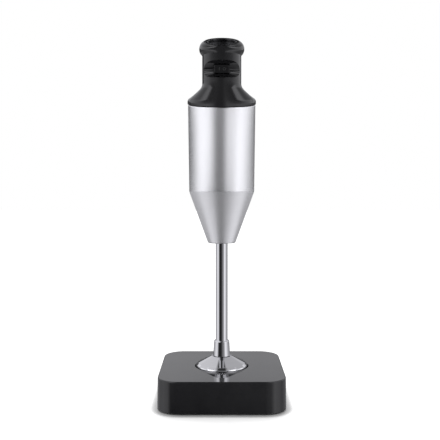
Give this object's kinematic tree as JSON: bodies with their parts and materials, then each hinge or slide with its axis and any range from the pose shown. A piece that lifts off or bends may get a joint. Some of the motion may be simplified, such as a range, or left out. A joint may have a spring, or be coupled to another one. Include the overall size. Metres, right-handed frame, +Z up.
{
  "type": "immersion blender",
  "caption": "Hand-held immersion blender standing bell-down in a square weighted stand, with a motor body, an offset grip, a finger recess and a top dial.",
  "frame": {"origin": "on the blender's axis, at the floor under the stand's feet", "axes": "+Z up along the shaft, -Y towards the front with the finger recess, +X to the right seen from the front"},
  "size_m": [0.122, 0.122, 0.3556],
  "materials": {
    "stand_gloss": "smooth glossy black moulding",
    "black_plastic": "plain moulded black",
    "ballast_steel": "turned plain steel",
    "black_rubber": "soft matt rubber",
    "screw_steel": "plain turned steel",
    "screw_black": "black coated steel",
    "bell_steel": "polished stainless steel",
    "collar_steel": "satin stainless steel",
    "tube_chrome": "polished tube",
    "bronze": "sintered bronze",
    "cast_aluminium": "machined aluminium",
    "cone_steel": "satin stainless steel with fine turned grain",
    "sleeve_steel": "satin stainless steel with fine turned grain",
    "bearing_steel": "ground steel",
    "lamination_steel": "stacked varnished sheet",
    "copper_wire": "enamelled copper wire",
    "copper_bars": "turned copper",
    "brass_sheet": "pressed brass",
    "carbon": "pressed carbon",
    "spring_steel": "bright wire",
    "handle_black": "satin black moulding with a very fine grain",
    "lid_gloss": "glossy black moulding",
    "ring_metal": "satin aluminium",
    "dial_metal": "spun satin aluminium",
    "board_green": "lacquered circuit board",
    "capacitor_yellow": "moulded box capacitor",
    "pot_metal": "plated steel case",
    "hub_steel": "turned stainless steel",
    "blade_steel": "polished stainless steel",
    "button_gloss": "glossy black button"
  },
  "bodies": {
    "stand": {"stand_shell": "stand_gloss", "stand_bottom_plate": "black_plastic", "stand_ballast": "ballast_steel", "stand_feet": "black_rubber", "stand_screws": "screw_steel", "well_pad": "black_rubber"},
    "handset": {"bell_guard": "bell_steel", "tube_collar": "collar_steel", "shaft_tube": "tube_chrome", "lower_bush": "bronze", "upper_bush": "bronze", "shaft_seal": "black_rubber", "tube_flange": "cast_aluminium", "tube_nut": "screw_steel", "body_cone": "cone_steel", "body_ring": "cast_aluminium", "body_sleeve": "sleeve_steel", "lower_mount": "black_rubber", "lower_bracket": "cast_aluminium", "bearing_outer_race": "bearing_steel", "bearing_balls": "bearing_steel", "stator_core": "lamination_steel", "field_coils": "copper_wire", "upper_bracket": "cast_aluminium", "upper_bush_motor": "bronze", "brush_holders": "brass_sheet", "carbon_brushes": "carbon", "brush_springs": "spring_steel", "through_bolts": "screw_steel", "upper_mount": "black_rubber", "handle_base": "black_plastic", "seam_gasket": "black_rubber", "handle_front": "handle_black", "handle_rear": "handle_black", "handle_screws": "screw_black", "head_lid": "lid_gloss", "dial_ring": "ring_metal", "cord_gland": "black_rubber", "cord_clamp": "black_plastic", "control_board": "board_green", "capacitor": "capacitor_yellow", "heat_sink": "cast_aluminium", "micro_switch": "black_plastic", "potentiometer": "pot_metal", "button_spring": "spring_steel"},
    "drive": {"motor_shaft": "bearing_steel", "armature_core": "lamination_steel", "armature_windings": "copper_wire", "commutator": "copper_bars", "cooling_fan": "black_plastic", "bearing_inner_race": "bearing_steel", "shaft_coupling": "cast_aluminium", "coupling_pins": "bearing_steel", "drive_shaft": "bearing_steel", "blade_hub": "hub_steel", "blade": "blade_steel", "blade_nut": "screw_steel"},
    "dial": {"speed_dial": "dial_metal", "dial_spindle": "bearing_steel"},
    "button": {"power_button": "button_gloss"}
  },
  "joints": [
    {"name": "lift_off", "type": "slide", "parent": "stand", "child": "handset", "axis": [0, 0, 1], "range_m": [0, 0.08]},
    {"name": "drive_spin", "type": "hinge", "parent": "handset", "child": "drive", "pos_m": [0, 0, 0.0305], "axis": [0, 0, 1], "continuous": true},
    {"name": "speed_dial_turn", "type": "hinge", "parent": "handset", "child": "dial", "pos_m": [0, -0.01615, 0.34818], "axis": [0, -0.3987, 0.9171], "range_deg": [0, 270]},
    {"name": "power_button_press", "type": "slide", "parent": "handset", "child": "button", "axis": [0, 1, 0], "range_m": [0, 0.0015], "stiffness_N_per_m": 400, "springref_m": -0.002, "deforming": ["button_spring"]}
  ]
}
